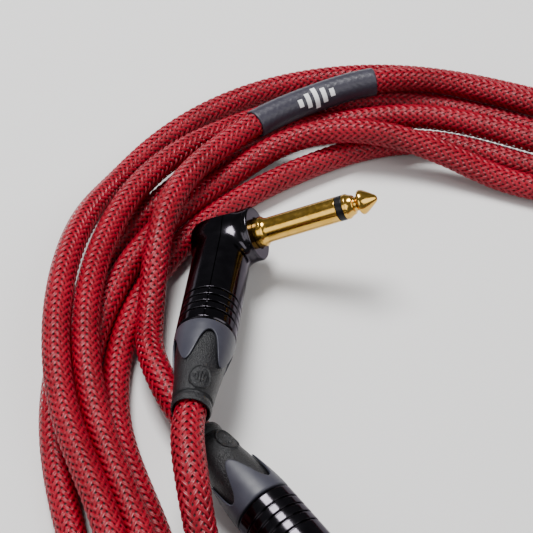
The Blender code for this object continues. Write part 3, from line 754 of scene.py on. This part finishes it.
def straight_housing(place):
    """The turned barrel, with the boot's bore at one end and the finger's seat at the other."""
    top = STRAIGHT_BODY - FACE
    spin("straight_housing_turned",
         [(5.3, top), (6.3, top - 0.6), (7.0, top - 2.0)] + grooved_side(top - 4.0)
         + [(BORE_R, 0), (BORE_R, BORE_DEPTH), (CAVITY_R, BORE_DEPTH + 0.4), (CAVITY_R, top - 2.4),
            (JACK_R + BORE_CLEAR, top - 2.4), (JACK_R + BORE_CLEAR, top - SEAT_DEPTH),
            (SEAT_R, top - SEAT_DEPTH), (SEAT_R, top)],
         place, CHROME, "straight_housing", radius=0.12, segments=192)


def blend_min(a, b, k):
    """The lesser of two distances, with a fillet of about k where they meet."""
    h = np.clip(0.5 + 0.5 * (b - a) / k, 0, 1)
    return b + (a - b) * h - k * h * (1 - h)


ELBOW_END = 1.0                # the barrel goes this far past the finger's axis
NECK_R, NECK_TAPER = 6.95, 1.4
NECK_FOOT, NECK_TOP = -6.7, 8.9
FILLET = 2.2
RAY_REACH, HALVINGS = 16.0, 26
ELBOW_SEGMENTS, ELBOW_ROWS = 256, 90
TURNED = 14.0                  # the barrel is a plain turned shape this far from its rim
FLANGE = ((6.3, 7.6), (6.75, 7.7), (7.0, 8.0), (7.0, 8.95), (6.75, 9.3), (SEAT_R, 9.3),
          (SEAT_R, 9.3 - SEAT_DEPTH), (JACK_R + BORE_CLEAR, 9.3 - SEAT_DEPTH),
          (JACK_R + BORE_CLEAR, 7.6))
SEAM, SEAM_HALF = 2.8, 0.1
WALL, WALL_SHARE = 0.9, 0.6
ON_PLANE, SHARP = 1e-6, math.radians(50)


def elbow(p):
    """How far a point is outside the elbow, in the corner's frame: X to the boot, Z to the finger."""
    x, y, z = p[..., 0], p[..., 1], p[..., 2]
    barrel = np.maximum(np.hypot(y, z) - SHELL_R, -x - ELBOW_END)
    slant = np.clip((z + 7.2) / 4.0, 0, 1)
    radius = NECK_R - NECK_TAPER * (1 - slant) ** 2
    neck = np.maximum(np.hypot(x, y) - radius, np.maximum(z - NECK_TOP, NECK_FOOT - z))
    return blend_min(barrel, neck, FILLET)


def rays(start, way):
    """Where each ray leaves the elbow."""
    low, high = np.zeros(start.shape[:-1]), np.full(start.shape[:-1], RAY_REACH)
    for _ in range(HALVINGS):
        mid = (low + high) / 2
        out = elbow(start + way * mid[..., None]) > 0
        low, high = np.where(out, low, mid), np.where(out, mid, high)
    return start + way * low[..., None]


def elbow_skin():
    """Rows of points from the boot's bore, along the barrel and round the closed end."""
    a = np.linspace(0, 2 * math.pi, ELBOW_SEGMENTS, endpoint=False)
    flat = np.stack([0 * a, np.cos(a), np.sin(a)], -1)
    to_boot = np.array([1.0, 0, 0])
    side = rounded(grooved_side(CORNER_TO_RIM - 0.2) + [(BORE_R, 0), (BORE_R, BORE_DEPTH)], 0.12,
                   False)
    rows = [flat * r + to_boot * (CORNER_TO_RIM - z) for r, z in side[::-1] if z <= TURNED]
    rows += [rays(to_boot * x + 0 * flat, flat)
             for x in np.linspace(CORNER_TO_RIM - TURNED, 0, ELBOW_ROWS)]
    rows += [rays(0 * flat, flat * math.cos(e) - to_boot * math.sin(e))
             for e in np.linspace(0, math.pi / 2, ELBOW_ROWS)[1:]]
    return np.array(rows)


def keep_side(mesh, corner, front):
    """Keeps one side of the seam, and turns the wall's thickness inward along the cut."""
    bm = bmesh.new()
    bm.from_mesh(mesh)
    axis = corner.to_3x3().col[2].normalized()
    at = corner @ Vector((0, 0, SEAM + (SEAM_HALF if front else -SEAM_HALF)))
    bmesh.ops.bisect_plane(bm, geom=bm.verts[:] + bm.edges[:] + bm.faces[:], dist=DOUBLED / 2,
                           plane_co=at, plane_no=axis, clear_inner=front, clear_outer=not front)
    cut = [e for e in bm.edges if e.is_boundary
           and all(abs((v.co - at).dot(axis)) < ON_PLANE for v in e.verts)]
    made = bmesh.ops.extrude_edge_only(bm, edges=cut)
    back = corner.inverted()
    for v in [v for v in made["geom"] if isinstance(v, bmesh.types.BMVert)]:
        p = back @ v.co
        radial = Vector((0, p.y, 0)) if p.x > 0 else Vector((p.x, p.y, 0))
        if radial.length > ON_PLANE:
            p -= radial / radial.length * min(WALL, radial.length * WALL_SHARE)
        v.co = corner @ p
    bmesh.ops.recalc_face_normals(bm, faces=bm.faces)
    bm.to_mesh(mesh)
    bm.free()
    mesh.set_sharp_from_angle(angle=SHARP)


def angled_housing(corner):
    """The elbow's skin, cut at the seam into its two castings. The flange is on the front one."""
    skin, flange = elbow_skin(), revolve(FLANGE, 160, 0.12)
    for name, grids, front in (("angled_housing_front", [skin, flange], True),
                               ("angled_housing_back", [skin], False)):
        cast = piece(name + "_cast", grids, corner, "root", CHROME, name)
        keep_side(cast.data, corner, front)


STRAIGHT_BADGE_WAY = (-0.361, -0.279, 0.891)
ANGLED_BADGE_WAY = (0.26, 0, 0.96)
STRAIGHT_WINDOW, STRAIGHT_BADGE = math.radians(30), math.radians(-60)


def plugs():
    """Both plugs in their places, each with its boot."""
    rim = axis_frame(STRAIGHT_RIM, STRAIGHT_AXIS, STRAIGHT_BADGE_WAY)
    front = axis_frame(along(STRAIGHT_RIM, STRAIGHT_AXIS, STRAIGHT_BODY), STRAIGHT_AXIS, (0, 0, 1))
    straight_housing(rim)
    jack("straight", front)
    boot_shell("straight", rim, STRAIGHT_WINDOW)
    bushing("straight", rim, STRAIGHT_BADGE)
    corner = axis_frame(CORNER, FINGER_WAY, BOOT_WAY)
    rim = axis_frame(along(CORNER, BOOT_WAY, CORNER_TO_RIM), [-x for x in BOOT_WAY],
                     ANGLED_BADGE_WAY)
    front = axis_frame(along(CORNER, FINGER_WAY, CORNER_TO_SHOULDER), FINGER_WAY, BOOT_WAY)
    angled_housing(corner)
    jack("angled", front)
    boot_shell("angled", rim, 0.0)
    bushing("angled", rim, 0.0)


plugs()

# ---------------------------------------------------------------- floor and light

FLOOR_SIZE, FLOOR_Z = 6, -0.0003
SKY, SKY_STRENGTH = (0.93, 0.95, 1.0, 1), 0.16
LAMPS = (("key", (-0.2, 0.42, 0.95), 0.42, 19.0),        # name, place, side, watts
         ("fill", (0.75, -0.35, 0.9), 0.8, 6.0),
         ("front", (-0.6, -0.7, 0.7), 0.7, 3.5))


def floor_and_light():
    """A plain pale floor, an even sky, and three square lamps that face the middle."""
    bpy.ops.mesh.primitive_plane_add(size=FLOOR_SIZE, location=(0, 0, FLOOR_Z))
    floor = bpy.context.object
    floor.name = "floor"
    floor.data.materials.append(principled("floor_pale", (0.72, 0.71, 0.70), 0.75)[0])
    world = bpy.data.worlds.new("studio")
    bpy.context.scene.world = world
    world.use_nodes = True
    sky = world.node_tree.nodes["Background"]
    sky.inputs["Color"].default_value = SKY
    sky.inputs["Strength"].default_value = SKY_STRENGTH
    for name, place, size, power in LAMPS:
        lamp = bpy.data.lights.new(name, "AREA")
        lamp.shape, lamp.size, lamp.energy = "SQUARE", size, power
        obj = bpy.data.objects.new(name, lamp)
        obj.location = place
        obj.rotation_euler = (-Vector(place)).to_track_quat("-Z", "Y").to_euler()
        bpy.context.scene.collection.objects.link(obj)


floor_and_light()

CAD_LOOKS = {"black_chrome": CHROME, "gold_plate": GOLD, "black_plastic": INSULATOR,
             "tinned_metal": TIN, "chuck_plastic": INSULATOR, "dark_rubber": BUSH_DARK,
             "grey_rubber": SHELL_GREY, "red_insulation": WIRE_RED, "bare_copper": COPPER,
             "red_braid": RED, "label_sleeve": LABEL}


def paint_cad():
    """Every CAD node that still shows takes its finish from the record's slot."""
    for part in frame["record"]["subparts"]:
        obj = frame["nodes"][part["node"]]
        look = CAD_LOOKS[part["material_slot"]]
        if not obj.material_slots:
            obj.data.materials.append(look)
        for place in obj.material_slots:
            place.material = look


paint_cad()
